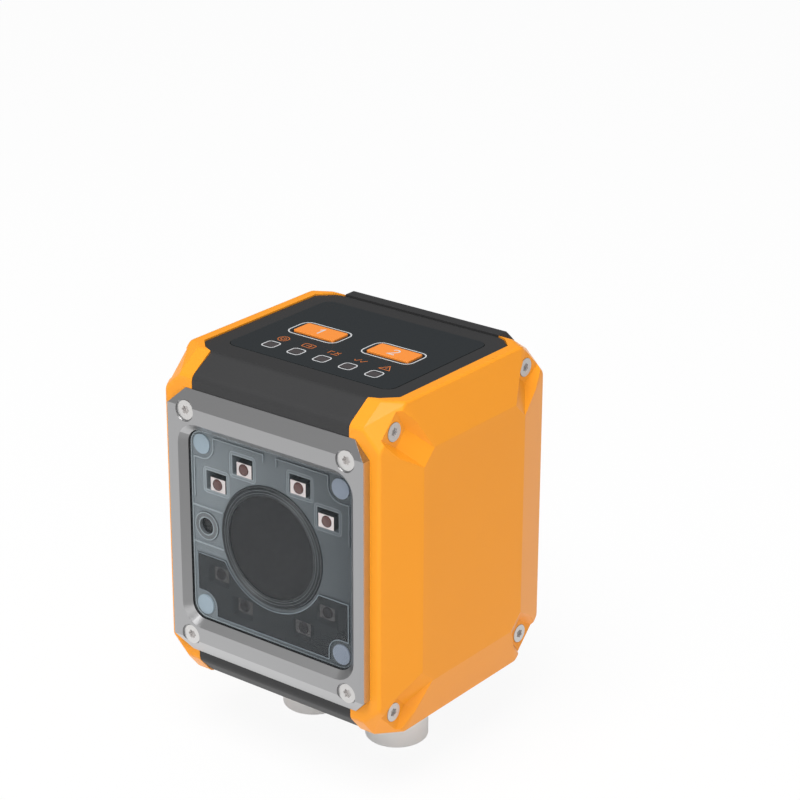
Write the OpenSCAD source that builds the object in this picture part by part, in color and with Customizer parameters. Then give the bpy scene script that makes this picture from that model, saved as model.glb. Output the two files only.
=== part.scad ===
// Industrial vision sensor: a boxed camera with its own lights behind a flat
// window, two side covers, a key panel on top and two M12 connectors below.
// The window faces -Y, +Z is up, and the two connector caps stand on Z = 0.

/* [Body] */
// Depth from the face of the bezel to the back
body_d = 69.6; // [68:0.2:78]
// How far the side covers stand out past the housing
cover_out = 6.5; // [6:0.1:7.5]
// How far the side covers reach above and below the bezel
cover_over = 8; // [7.8:0.1:9]
// Leg of the bevelled corners of the side covers
corner = 9.6; // [9.2:0.1:10.6]
// Depth of the bevel along the top edges
edge_leg_y = 7.2; // [6.8:0.1:7.6]
// Height of that bevel
edge_leg_z = 4.9; // [4.6:0.1:5.4]
// Depth of the steeper bevel along the bottom edges
low_leg_y = 4.5; // [4.2:0.1:5]
// Height of that bevel
low_leg_z = 5.4; // [5:0.1:5.8]
// Rounding of the bends between the faces of the body
bend_r = 2.2; // [1.5:0.1:3]

/* [Side covers] */
// Rounding where a cover turns from its rim to its side
cover_edge_r = 1; // [0.8:0.1:1.3]
// How far the slopes rise from the rim to the flat
cover_rise = 3.2; // [3:0.1:3.8]
// Distance of the flat from the front, top, back and bottom
flat_inset = 12.8; // [12:0.1:14]
// Leg of the small bevels at the corners of the flat
flat_corner = 4; // [3.9:0.1:4.8]
// Wall of the covers
cover_wall = 1.9; // [1.6:0.1:2.4]
// Thickness of the lip that folds over the housing
lip_t = 1.6; // [1.3:0.1:1.9]
// Width of the lip on the front and back corners
tab_w = 6.1; // [5.6:0.1:6.6]
// Width of the short straight end of that lip
tab_step = 2.6; // [2:0.1:3.2]
// Distance of the cover screws from the front, top, back and bottom
cover_screw_in = 6.8; // [6.7:0.1:7.2]
// Depth of the flat screw seats below the rim of the slopes
seat_drop = 1.15; // [1.05:0.05:1.4]
// Width of the floor of a screw pocket at its outer end
pocket_w = 9.4; // [8.8:0.2:10]
// How far the sides of a screw pocket lean outwards for each millimetre of height
pocket_lean = 0.9; // [0.8:0.05:1]
// Length of the level floor past the screw
seat_len = 3.3; // [3.1:0.1:4]

/* [Housing] */
// How far the top of the housing lies below the top of the covers
top_drop = 0.4; // [0.2:0.1:0.6]
// Thickness of the front, top, bottom and back walls
wall = 4.2; // [4:0.1:4.6]
// Leg of the thick inner corners that take the screws
chamber_leg = 9; // [8:0.2:9.6]
// Depth of the rear cover
rear_t = 7.1; // [7:0.1:7.8]
// Width of the band in front of its bevel
band_w = 3.5; // [3:0.1:4]
// Thickness of the rear cover's flange under the side covers
rear_flange_t = 1.5; // [1.3:0.1:1.8]
// Depth of the hollow in the rear cover
rear_hollow = 3.4; // [3:0.1:3.8]

/* [Bezel and window] */
// Side of the square window opening
window_size = 52; // [50:0.2:56]
// Width of the bezel beside the window
bezel_side = 5.1; // [4.9:0.1:6]
// Height of the bezel above and below the window
bezel_end = 10.2; // [10:0.1:11.6]
// Thickness of the bezel
bezel_t = 2.4; // [2.2:0.1:2.8]
// Leg of its cut corners
bezel_corner = 4.3; // [3.8:0.1:4.8]
// Height of the slanted band along its top and bottom
bezel_bevel = 4.1; // [3.6:0.1:4.3]
// Corner radius of the window opening
window_r = 4.1; // [3.8:0.1:4.6]
// Width of the slanted band round the window opening
window_bevel = 1.95; // [1.6:0.05:2.1]
// Depth of the window below the face of the bezel
window_sink = 1.8; // [1.5:0.1:1.9]
// Thickness of the window plate
window_t = 0.5; // [0.4:0.05:0.6]
// Width of the window's rim behind the bezel
window_rim = 1.7; // [1.5:0.1:1.9]
// Thickness of the window gasket
window_seal_t = 1; // [0.9:0.1:1.2]
// Diameter of the four window studs
stud_d = 5.3; // [4.8:0.1:5.6]
// Distance of the studs from the edge of the window
stud_in = 3.8; // [3.6:0.1:4]

/* [Lens and lights] */
// Diameter of the aiming light beside the lens
aimer_d = 7.6; // [7.2:0.1:7.8]
// Its distance from the edge of the window
aimer_in = 4.8; // [4.7:0.1:5.1]
// Gap between the aiming light and the lens ring
aimer_gap = 1.2; // [1:0.1:1.5]
// Width of the ring round the dark glass of the lens
ring_w = 2.55; // [2.3:0.05:2.8]
// How much smaller the barrel is than the ring, all round
barrel_in = 1.65; // [1.5:0.05:1.9]
// Number of fine rings on the front of the lens ring
lens_grooves = 5; // [3:1:6]
// Width of an LED package
led_w = 4.8; // [4.4:0.1:5]
// Height of an LED package
led_h = 3.6; // [3.4:0.1:3.9]
// Diameter of its dome
led_dome_d = 3.1; // [2.8:0.1:3.2]
// Width of the light well round an LED
well_w = 6.6; // [6.2:0.1:6.7]
// Height of that well
well_h = 5.1; // [4.9:0.1:5.3]
// Distance of the upper inner LEDs from the lens ring
led_in_gap = 4.3; // [4.2:0.1:4.6]
// Distance of the upper outer LEDs from the lens ring
led_out_gap = 5.1; // [4.9:0.1:5.2]
// Distance of the lower LEDs from the lens ring
led_low_gap = 5.2; // [5:0.1:5.3]

/* [Boards] */
// Gap between the boards and the side covers
board_side = 4; // [3.6:0.1:5]
// Thickness of the boards
board_t = 1.6; // [1.2:0.1:1.8]
// Distance of the spacers from the side edges of the boards
spacer_side = 8; // [7.6:0.1:8.6]
// Distance of the spacers from the top and bottom of the boards
spacer_end = 3.2; // [3:0.1:3.5]
// Width over the flats of the spacers
spacer_af = 4.5; // [4:0.1:4.8]
// Gap between the main board and the rear cover
rear_gap = 8.5; // [8.2:0.1:9.4]
// Gap between the lens barrel and the sensor board
lens_space = 6.1; // [5.6:0.1:7]

/* [Key panel] */
// Distance of the panel from the side covers
panel_side = 5; // [4.8:0.1:6]
// Distance of the panel from the front of the housing
panel_front = 14; // [13.6:0.1:14.6]
// Distance of the panel from the rear cover
panel_back = 5.7; // [5.2:0.1:7]
// Thickness of the panel
panel_t = 0.8; // [0.7:0.05:0.9]
// How far the panel stands proud of the housing
panel_rise = 0.1; // [0.05:0.05:0.2]
// Width of a key
key_w = 13; // [12:0.1:13.6]
// Depth of a key from front to back
key_d = 6.4; // [6:0.1:6.8]
// Distance of the keys from the middle
key_x = 11.8; // [11.2:0.1:12]
// How far a key stands above the panel
key_rise = 0.35; // [0.2:0.05:0.6]
// How far a key travels
key_travel = 0.4; // [0.3:0.05:0.5]
// Clearance round a key
key_gap = 0.3; // [0.25:0.05:0.35]
// Width of an indicator window
lamp_w = 3.6; // [3.2:0.1:4]
// Depth of an indicator window
lamp_d = 2.5; // [2.2:0.1:2.8]
// Spacing of the indicator windows
lamp_pitch = 8.2; // [7.8:0.1:8.6]
// Distance of the indicators from the front of the panel
lamp_in = 6.3; // [5.6:0.1:6.8]

/* [Connectors] */
// Distance of the connectors from the side covers
plug_in = 17; // [16:0.1:17.4]
// How far the connectors sit in front of the middle
plug_front = 0.9; // [0:0.1:1.5]
// Length of a connector cap
cap_len = 16.6; // [15.6:0.1:18]
// Thread diameter of the connector shell
shell_d = 12; // [11.6:0.1:12.4]
// Thickness of the shell's flange
flange_t = 1; // [0.9:0.1:1.4]
// Width over the flats of the nut
nut_af = 16; // [15.4:0.2:16.6]
// Thickness of the nut
nut_t = 2.8; // [2.4:0.1:3.2]
// Number of contacts round a connector
contacts = 4; // [3:1:6]

/* [Mounting] */
// Distance of the mounting holes from the sides of the back
mount_in = 4.9; // [4.7:0.1:6.5]
// Diameter of the mounting holes
mount_hole_d = 3.3; // [3:0.1:3.6]
// Depth of the mounting holes
mount_depth = 5.6; // [5:0.1:6]

/* [Screws] */
// Head diameter of the countersunk screws in the bezel and the rear cover
head_d = 5.1; // [4.9:0.1:5.3]
// Head diameter of the countersunk screws in the side covers
cover_head_d = 4.8; // [4.5:0.1:4.9]
// Shank diameter of the countersunk screws
shank_d = 2.9; // [2.7:0.1:3]
// Length of the cover screws
cover_screw_len = 7; // [6:0.2:7.6]
// Length of the rear cover screws
rear_screw_len = 8; // [7:0.2:8.4]

/* [Hidden] */
$fn = 48;

// Small fits: between fixed pieces, and round a screw in its hole
fit = 0.1;
screw_fit = 0.05;
// Reach of a cutting solid past the face it cuts
over = 1;
// Thickness of a slice that a hull blends
slice_t = 0.05;

// Widths and heights that follow from the window
bezel_w = window_size + 2 * bezel_side;
bezel_h = window_size + 2 * bezel_end;
core_w = bezel_w - 0.2;
body_w = core_w + 2 * cover_out;
body_h = bezel_h + 2 * cover_over;

// Main planes of the body
y_front = bezel_t;
y_mid = (y_front + body_d) / 2;
half_d = (body_d - y_front) / 2;
half_h = body_h / 2;
core_x = core_w / 2;
flat_x = body_w / 2;
rim_x = flat_x - cover_rise;
edge_x = rim_x - cover_edge_r;
tab_x = core_x - tab_w;
top_z = half_h - top_drop;
y_joint = body_d - rear_t;
lift = top_z + flange_t + cap_len;

// Legs of the bevels in depth and height, and of the flat on a cover
edge_leg = [edge_leg_y, edge_leg_z];
low_leg = [low_leg_y, low_leg_z];
corner_leg = [corner, corner];
flat_leg = (flat_corner + flat_inset * (2 - sqrt(2))) * [1, 1];

// Planes behind the window
window_y = window_sink;
window_back = window_y + window_t;
seal_back = window_back + window_seal_t;
ridge_y = window_back + 0.03;
frame_y = window_back + 0.4;
board_y = y_front + wall;
half_window = window_size / 2;
half_pocket = half_window + window_rim + fit;
half_frame = half_window - 0.2;

// Planes of the boards
rear_in_y = y_joint + rear_hollow;
main_y = rear_in_y - rear_gap - board_t;
spacer_len = (main_y - board_y - 2 * board_t) / 2;
sensor_y = board_y + board_t + spacer_len;

module place() {
    translate([0, -body_d / 2, lift]) children();
}

// Points of an outline whose corners become arcs of the given radius
function unit(v) = v / norm(v);
function wrap(a) = a > 180 ? a - 360 : a < -180 ? a + 360 : a;
function corner_arc(a, b, c, r, n) =
    let (u = unit(a - b), w = unit(c - b), half = acos(u * w) / 2)
    let (p = b + u * r / tan(half), q = b + w * r / tan(half))
    let (m = b + unit(u + w) * r / sin(half))
    let (start = atan2(p.y - m.y, p.x - m.x))
    let (sweep = wrap(atan2(q.y - m.y, q.x - m.x) - start))
    [for (i = [0:n]) m + r * [cos(start + sweep * i / n), sin(start + sweep * i / n)]];
function rounded(pts, r, n = 4) =
    let (k = len(pts))
    [for (i = [0:k - 1]) each
        corner_arc(pts[(i + k - 1) % k], pts[i], pts[(i + 1) % k], r, n)];

// A bevelled outline in depth and height with other bevels at the bottom, inset
// evenly by one distance and lowered by another
function leg_left(leg, inset) =
    leg * (1 - inset * (leg.x + leg.y - norm(leg)) / (leg.x * leg.y));
function body_outline(inset, leg, low, drop = 0) =
    let (f = leg_left(leg, inset), g = leg_left(low, inset))
    let (a = half_d - inset, b = half_h - inset - drop)
    [[a, b - f.y], [a - f.x, b], [-a + f.x, b], [-a, b - f.y],
     [-a, -b + g.y], [-a + g.x, -b], [a - g.x, -b], [a, -b + g.y]];

// A rectangle with cut corners, and one with round corners
function cut_rect(w, h, leg) =
    [[w / 2, h / 2 - leg], [w / 2 - leg, h / 2], [leg - w / 2, h / 2], [-w / 2, h / 2 - leg],
     [-w / 2, leg - h / 2], [leg - w / 2, -h / 2], [w / 2 - leg, -h / 2], [w / 2, leg - h / 2]];
function round_rect(w, h, r, n = 6) =
    rounded([[w / 2, -h / 2], [w / 2, h / 2], [-w / 2, h / 2], [-w / 2, -h / 2]], r, n);

// Extrusions along X of a depth-height outline, and along Y of a width-height outline
module along_x(x0, x1) {
    translate([x0, y_mid, 0]) rotate([90, 0, 90]) linear_extrude(x1 - x0) children();
}
module along_y(y0, y1) {
    translate([0, y1, 0]) rotate([90, 0, 0]) linear_extrude(y1 - y0) children();
}
module along_z(z0, z1, x, y) {
    translate([x, y, z0]) linear_extrude(z1 - z0) children();
}
module rod_y(y0, y1, x, z, d) {
    translate([x, y0, z]) rotate([-90, 0, 0]) cylinder(h = y1 - y0, d = d);
}
module rod_z(z0, z1, x, y, d) {
    translate([x, y, z0]) cylinder(h = z1 - z0, d = d);
}
module block(x0, x1, y0, y1, z0, z1) {
    translate([x0, y0, z0]) cube([x1 - x0, y1 - y0, z1 - z0]);
}
module slab_y(y0, y1, w, h, x = 0, z = 0) {
    block(x - w / 2, x + w / 2, y0, y1, z - h / 2, z + h / 2);
}
// Four places mirrored about both middle planes, on a plane across Y
module at_four(x, z) {
    for (sx = [1, -1], sz = [1, -1]) translate([sx * x, 0, sz * z]) children();
}

// Countersunk screw with a six-lobed socket, its head on z = 0 and its shank downwards
head_rim = 0.2;
head_flare = 0.2;
socket_depth = 0.9;
socket_lobe = 0.14;
module screw(length, d = head_d) {
    socket_r = d * 0.25;
    difference() {
        rotate_extrude($fn = 32) polygon([[0, 0], [d / 2, 0], [d / 2, -head_rim],
            [shank_d / 2, -head_rim - (d - shank_d) / 2], [shank_d / 2, 0.4 - length],
            [shank_d / 2 - 0.4, -length], [0, -length]]);
        translate([0, 0, -socket_depth]) linear_extrude(socket_depth + over)
            polygon([for (a = [0:15:345])
                socket_r * (1 - socket_lobe + socket_lobe * cos(6 * a)) * [cos(a), sin(a)]]);
    }
}
// The hole it sits in
module screw_hole(length, d = head_d) {
    r = d / 2 + screw_fit;
    shank_r = shank_d / 2 + screw_fit;
    rotate_extrude($fn = 32) polygon([[0, over], [d / 2 + head_flare, over],
        [d / 2 + head_flare, 0], [r, -head_rim / 2], [r, -head_rim - screw_fit],
        [shank_r, -head_rim - screw_fit - r + shank_r], [shank_r, -length - fit],
        [0, -length - fit]]);
}

// Places of the screws: four in each cover, four in the bezel and four at the back
seat_x = rim_x - seat_drop;
screw_z = half_h - cover_screw_in;
bezel_screw_x = bezel_w / 2 - 5.6;
bezel_screw_z = half_pocket + head_d / 2 + 0.65;
bezel_seat_y = 0.5;
bezel_screw_len = board_y - bezel_seat_y - 0.5;
rear_screw_x = tab_x - 5.9;
rear_screw_z = half_h - 7.2;
rear_seat = 3.8;
function screw_y(front) = front > 0 ? y_front + cover_screw_in : body_d - cover_screw_in;
module at_cover_screws(side) {
    for (front = [1, -1], up = [1, -1])
        translate([side * seat_x, screw_y(front), up * screw_z]) rotate([0, side * 90, 0])
            children();
}
module at_bezel_screws() {
    at_four(bezel_screw_x, bezel_screw_z)
        translate([0, bezel_seat_y, 0]) rotate([90, 0, 0]) children();
}
module at_rear_screws() {
    at_four(rear_screw_x, rear_screw_z)
        translate([0, body_d - rear_seat, 0]) rotate([-90, 0, 0]) children();
}

// What the housing and the rear cover fill between the lips of the covers.
// The clearance c shrinks it.
lip_x = core_x - 1.4;
lip_z = bezel_h / 2 - 0.7;
tip_y = edge_leg_y;
function plan_side(c) =
    [[tab_x - c, -over], [tab_x - c, tip_y + c], [tab_x + tab_step - c, tip_y + 1 + c],
     [core_x - c, tip_y + 1 + tab_w - tab_step + c]];
function plan_back(pts) =
    [for (i = [len(pts) - 1:-1:0]) [pts[i].x, 2 * half_d - pts[i].y]];
function plan_left(pts) = [for (i = [len(pts) - 1:-1:0]) [-pts[i].x, pts[i].y]];
module envelope(c) {
    right = concat(plan_side(c), plan_back(plan_side(c)));
    along_x(-core_x + c, core_x - c)
        polygon(rounded(body_outline(lip_t + c, edge_leg, low_leg), bend_r));
    along_z(-half_h - over, half_h + over, 0, y_front) polygon(concat(right, plan_left(right)));
    along_y(y_front - over, y_front + wall)
        polygon(cut_rect(2 * (lip_x - c), 2 * (lip_z - c), bezel_corner - 0.9));
}

// One slice of a cover
module slice(x, pts) {
    along_x(x - slice_t, x) polygon(rounded(pts, bend_r, 3));
}

// The flat seat and the ramp cut into one corner of a right-hand cover. Each place
// along it gives the distance from the screw, inwards along the diagonal, the
// height of the floor and half its width.
past_edge = 0.12;
pocket_half = flat_corner / sqrt(2) - past_edge;
ramp_rise = flat_x - seat_x;
ramp_end = (flat_inset + flat_corner / 2 - cover_screw_in) * sqrt(2) + past_edge;
ramp_top = ramp_end + over * (ramp_end - seat_len) / ramp_rise;
pocket_rise = ramp_rise + over;
module pocket() {
    places = [[-cover_screw_in, 0, pocket_w / 2], [seat_len, 0, pocket_half],
        [ramp_top, pocket_rise, pocket_half]];
    lean = pocket_lean * pocket_rise;
    polyhedron(
        [for (p = places) each
            [[p.y, -p.z, p.x], [p.y, p.z, p.x],
             [p.y + pocket_rise, p.z + lean, p.x], [p.y + pocket_rise, -p.z - lean, p.x]]],
        concat([[3, 2, 1, 0], [8, 9, 10, 11]],
            [for (k = [0, 4], j = [0:3])
                [k + j, k + (j + 1) % 4, k + 4 + (j + 1) % 4, k + 4 + j]]));
}

module cover() {
    difference() {
        hull() {
            along_x(tab_x, core_x - tab_w / 3)
                polygon(rounded(body_outline(0, edge_leg, low_leg), bend_r, 3));
            slice(edge_x, body_outline(0, corner_leg, corner_leg));
            for (a = [30, 55, 74])
                slice(edge_x + cover_edge_r * sin(a),
                    body_outline(cover_edge_r * (1 - cos(a)), corner_leg, corner_leg));
            along_x(flat_x - slice_t, flat_x)
                polygon(body_outline(flat_inset, flat_leg, flat_leg));
        }
        envelope(0);
        cover_cavity();
        for (front = [1, -1], up = [1, -1])
            translate([seat_x, screw_y(front), up * screw_z])
                rotate([front * up * 45 + (up > 0 ? 180 : 0), 0, 0]) pocket();
        at_cover_screws(1) screw_hole(cover_screw_len, cover_head_d);
    }
}
// Hollow under the slopes and the flat
module cover_cavity() {
    edge = 5;
    leg = [1, 1] * (corner + 6);
    top_leg = flat_leg + [4, 4];
    deep = rim_x + 0.9 - cover_wall;
    hull() {
        along_x(core_x - over, core_x + slice_t) polygon(body_outline(edge, leg, leg));
        along_x(deep - slice_t, deep) polygon(body_outline(edge, leg, leg));
        along_x(flat_x - cover_wall - slice_t, flat_x - cover_wall)
            polygon(body_outline(flat_inset + 0.8, top_leg, top_leg));
    }
}
module right_cover() {
    place() color("orange") cover();
}
module left_cover() {
    place() color("orange") mirror([1, 0, 0]) cover();
}
module right_cover_screws() {
    place() color("gainsboro") at_cover_screws(1) screw(cover_screw_len, cover_head_d);
}
module left_cover_screws() {
    place() color("gainsboro") at_cover_screws(-1) screw(cover_screw_len, cover_head_d);
}

// The dark middle housing: a bevelled tube along X with a front wall that
// takes the window, a back wall, and openings for the panel and the connectors
housing_leg = [edge_leg_y + 0.1, edge_leg_z - top_drop];
housing_low = [low_leg_y + 0.1, low_leg_z - top_drop];
panel_w = core_w - 2 * panel_side;
panel_d = y_joint - panel_back - y_front - panel_front;
panel_y = y_front + panel_front + panel_d / 2;
panel_under = top_z + panel_rise - panel_t;
flange_w = key_w + 1.6;
flange_d = key_d + 1.6;
lamp_y = y_front + panel_front + lamp_in;
wall_in_z = top_z - wall;
back_in_y = y_joint - wall + 0.2;
board_w = core_w - 2 * board_side;
board_h = 2 * (wall_in_z - chamber_leg - 0.6);
keypad_screw_d = 1.6;
keypad_head_d = 3.4;
keypad_head_t = 1.2;
keypad_reach = 2.4;
rear_open_w = 2 * tab_x - 4.8;
rear_open_h = board_h + 1;
module chamber() {
    b = wall_in_z;
    leg = chamber_leg;
    translate([-core_x - over, 0, 0]) rotate([90, 0, 90]) linear_extrude(core_w + 2 * over)
        polygon([[board_y, b - leg], [board_y + leg, b], [back_in_y - leg, b],
            [back_in_y, b - leg], [back_in_y, leg - b], [back_in_y - leg, -b],
            [board_y + leg, -b], [board_y, leg - b]]);
}
module mid_housing() {
    place() color("dimgray") difference() {
        intersection() {
            envelope(fit);
            along_x(-core_x + fit, core_x - fit)
                polygon(rounded(body_outline(0, housing_leg, housing_low, top_drop), 2.8, 5));
        }
        rear_space(0);
        chamber();
        along_y(y_front - over, seal_back)
            polygon(round_rect(2 * half_pocket, 2 * half_pocket, window_r + window_rim));
        along_y(y_front - over, board_y + over)
            polygon(round_rect(window_size, window_size, window_r));
        slab_y(back_in_y - over, y_joint + over, rear_open_w, rear_open_h);
        along_z(panel_under, top_z + over, 0, panel_y)
            polygon(round_rect(panel_w + 2 * fit, panel_d + 2 * fit, 3));
        for (sx = [1, -1])
            along_z(wall_in_z - over, top_z, sx * key_x, panel_y)
                square([flange_w + 2 * key_gap, flange_d + 2 * key_gap], center = true);
        for (i = [-2:2])
            along_z(wall_in_z - over, top_z, i * lamp_pitch, lamp_y)
                square([lamp_w + 2 * fit, lamp_d + 2 * fit], center = true);
        for (sx = [1, -1])
            rod_z(-top_z - over, -wall_in_z + over, sx * plug_x, plug_y, shell_d + 2 * fit);
        at_cover_screws(1) screw_hole(cover_screw_len, cover_head_d);
        at_cover_screws(-1) screw_hole(cover_screw_len, cover_head_d);
        at_bezel_screws() screw_hole(bezel_screw_len);
        at_rear_screws() screw_hole(rear_screw_len);
        at_keypad_screws() rod_z(-over, keypad_reach + 2 * fit, 0, 0, keypad_screw_d + fit);
    }
}

// The rear cover: a raised band, a bevel and a flat back with four mounting
// holes; a thin flange at each side lies under the side covers
flange_y = body_d - lip_t - rear_flange_t - fit;
module rear_space(c) {
    block(c - tab_x, tab_x - c, y_joint + c, body_d + over, -half_h - over, half_h + over);
    block(-core_x, core_x, flange_y + c, body_d + over, -half_h - over, half_h + over);
}
mount_x = tab_x - mount_in;
mount_boss_d = 6.4;
pad_w = 16;
boss_w = pad_w + 2;
groove_w = 1.2;
groove_t = 0.8;
groove_in_w = rear_open_w + 1.4;
groove_in_h = rear_open_h + 1.4;
module rear_cover() {
    band_z = half_h - 0.05;
    drop_z = (rear_t - band_w) * 0.95;
    place() color("dimgray") difference() {
        union() {
            intersection() {
                envelope(fit);
                rear_space(0.15);
                rotate([90, 0, 90]) translate([0, 0, -core_x]) linear_extrude(core_w)
                    polygon([[y_joint, -band_z], [y_joint + band_w, -band_z],
                        [body_d, drop_z - band_z], [body_d, band_z - drop_z],
                        [y_joint + band_w, band_z], [y_joint, band_z]]);
            }
            slab_y(rear_pad_y, rear_in_y, boss_w, boss_w);
        }
        difference() {
            slab_y(y_joint - over, rear_in_y, rear_open_w, rear_open_h);
            slab_y(rear_pad_y - over, body_d, boss_w, boss_w);
            at_four(mount_x, mount_x) rod_y(y_joint, body_d, 0, 0, mount_boss_d);
        }
        difference() {
            slab_y(y_joint - over, y_joint + groove_t, groove_in_w + 2 * groove_w,
                groove_in_h + 2 * groove_w);
            slab_y(y_joint - 2 * over, y_joint + 2 * over, groove_in_w, groove_in_h);
        }
        at_four(mount_x, mount_x)
            rod_y(body_d - mount_depth, body_d + over, 0, 0, mount_hole_d);
        at_rear_screws() screw_hole(rear_screw_len);
        at_rear_screws() cylinder(h = rear_seat + over, d = head_d + 0.6);
    }
}
module rear_gasket() {
    place() color("black") difference() {
        slab_y(y_joint, y_joint + groove_t - 0.05, groove_in_w + 2 * groove_w - 0.1,
            groove_in_h + 2 * groove_w - 0.1);
        slab_y(y_joint - over, y_joint + over, groove_in_w + 0.1, groove_in_h + 0.1);
    }
}
module rear_screws() {
    place() color("gainsboro") at_rear_screws() screw(rear_screw_len);
}

// The grey bezel: slanted at the top and bottom, with straight sides and cut corners
module front_bezel() {
    z0 = bezel_h / 2 - bezel_bevel;
    z1 = bezel_h / 2;
    place() color("darkgray") difference() {
        intersection() {
            along_y(0, bezel_t) polygon(cut_rect(bezel_w, bezel_h, bezel_corner));
            rotate([90, 0, 90]) translate([0, 0, -bezel_w]) linear_extrude(2 * bezel_w)
                polygon([[0, -z0], [bezel_t - 0.2, -z1], [bezel_t + over, -z1],
                    [bezel_t + over, z1], [bezel_t - 0.2, z1], [0, z0]]);
        }
        hull() {
            along_y(-slice_t, 0) polygon(round_rect(window_size + 2 * window_bevel,
                window_size + 2 * window_bevel, window_r + window_bevel));
            along_y(window_y, window_y + slice_t)
                polygon(round_rect(window_size, window_size, window_r));
        }
        along_y(window_y, bezel_t + over)
            polygon(round_rect(2 * half_pocket, 2 * half_pocket, window_r + window_rim));
        at_bezel_screws() screw_hole(bezel_screw_len);
        at_bezel_screws() cylinder(h = 2 * over, d = head_d + 0.7);
    }
}
module bezel_screws() {
    place() color("gainsboro") at_bezel_screws() screw(bezel_screw_len);
}

// The window plate, its gasket and the studs close behind it
stud_x = half_window - stud_in;
stud_back_d = 3.4;
module front_window() {
    place() color("slategray", 0.5) along_y(window_y, window_back)
        polygon(round_rect(2 * half_pocket - 2 * fit, 2 * half_pocket - 2 * fit,
            window_r + window_rim - fit));
}
module window_gasket() {
    place() color("black") difference() {
        along_y(window_back, seal_back) polygon(round_rect(2 * half_pocket - 2 * fit,
            2 * half_pocket - 2 * fit, window_r + window_rim - fit));
        along_y(window_back - over, seal_back + over)
            polygon(round_rect(window_size, window_size, window_r));
    }
}
module window_studs() {
    place() color("lightsteelblue") at_four(stud_x, stud_x) {
        rod_y(window_back, frame_y, 0, 0, stud_d);
        rod_y(frame_y - slice_t, board_y, 0, 0, stud_back_d);
    }
}

// The moulded light frame: a plate with light wells in shallow recesses, thin
// ridges along the light panels, and openings for the lens and the aiming light
aimer_x = half_window - aimer_in;
lens_ring_d = 2 * (aimer_x - aimer_d / 2 - aimer_gap);
lens_glass_d = lens_ring_d - 2 * ring_w;
barrel_d = lens_ring_d - 2 * barrel_in;
ridge_t = 0.35;
panel_low = 7.4;
panel_in_x = 1.95;
panel_short = 2.3;
panel_far = half_frame - 0.85;
panel_end = half_frame - 1.05;
filter_far = half_frame - 1.2;
filter_low = 7.9;
stud_clear = 3.7;
rib_z = aimer_d / 2 + 1.25;
// The room a stud takes from a light panel, and the two outlines of the panels
module stud_notch(r) {
    circle(r = r, $fn = 32);
    translate([0, -r]) square(stud_x);
    translate([-r, 0]) square(stud_x);
}
module light_panel(inset) {
    difference() {
        translate([panel_in_x + inset, panel_low])
            square([panel_far - panel_in_x - 2 * inset, panel_end - panel_low - inset]);
        translate([stud_x, stud_x]) stud_notch(stud_clear + inset);
    }
}
module filter_area(inset) {
    difference() {
        translate([-filter_far + inset, filter_low + inset])
            square([2 * (filter_far - inset), panel_end - filter_low - 2 * inset]);
        circle(r = lens_ring_d / 2 + 0.8 + inset, $fn = 72);
        for (sx = [0, 1]) mirror([sx, 0]) translate([stud_x, stud_x])
            stud_notch(stud_clear + inset);
    }
}
module panel_lines() {
    intersection() {
        difference() {
            light_panel(0);
            light_panel(ridge_t);
        }
        union() {
            translate([0, panel_end - panel_short]) square(half_window);
            translate([stud_x - stud_clear - 1, 0]) square(half_window);
        }
    }
}
function polar(gap, a) = (lens_ring_d / 2 + gap) * [cos(a), sin(a)];
led_in = polar(led_in_gap, 64.6);
led_out = polar(led_out_gap, 34.7);
led_low_in = polar(led_low_gap, 63.4);
led_low_out = polar(led_low_gap, 36);
module at_leds(spots, up) {
    for (sx = [0, 1], at = spots) mirror([sx, 0, 0]) translate([at.x, 0, up * at.y]) children();
}
module at_upper_leds() {
    at_leds([led_in, led_out], 1) children();
}
module at_lower_leds() {
    at_leds([led_low_in, led_low_out], -1) children();
}
// A well sits a little outwards and upwards of its LED
module well() {
    slab_y(frame_y - over, board_y + over, well_w, well_h, 0.4, 0.6);
}
module well_recess() {
    translate([0.4, 0, 0.6]) along_y(frame_y - over, frame_y + 0.12)
        polygon(round_rect(well_w + 2.1, well_h + 2.1, 1.2, 4));
}
module light_frame() {
    place() color("lightslategray") difference() {
        union() {
            along_y(frame_y, board_y)
                polygon(round_rect(2 * half_frame, 2 * half_frame, window_r - 0.2));
            along_y(ridge_y, frame_y + slice_t) panel_lines();
            along_y(ridge_y, frame_y + slice_t) mirror([1, 0]) panel_lines();
            along_y(ridge_y, frame_y + slice_t) frame_rim();
            for (up = [1, -1])
                block(-half_frame + 0.2, -barrel_d / 2 - 1, ridge_y, frame_y + slice_t,
                    up * rib_z - 0.25, up * rib_z + 0.25);
        }
        rod_y(ridge_y - over, frame_y + 1.2 + fit, 0, 0, lens_ring_d + 2 * fit);
        rod_y(ridge_y, board_y + over, 0, 0, barrel_d + 2 * fit);
        rod_y(ridge_y - over, board_y + over, -aimer_x, 0, aimer_d + 2 * fit);
        at_four(stud_x, stud_x) rod_y(ridge_y - over, board_y + over, 0, 0, stud_back_d + fit);
        at_upper_leds() well();
        at_upper_leds() well_recess();
        at_lower_leds() mirror([0, 0, 1]) well();
    }
}
// Thin raised rim along the edge of the frame
module frame_rim() {
    difference() {
        polygon(round_rect(2 * half_frame, 2 * half_frame, window_r - 0.2));
        polygon(round_rect(2 * half_frame - 0.7, 2 * half_frame - 0.7, window_r - 0.55));
    }
}

// The darker panel over the lower lights
filter_t = 0.3;
filter_back = ridge_y + filter_t;
module lower_filter() {
    place() color("darkslategray", 0.7) along_y(ridge_y, filter_back)
        mirror([0, 1]) filter_area(0);
}

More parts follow.
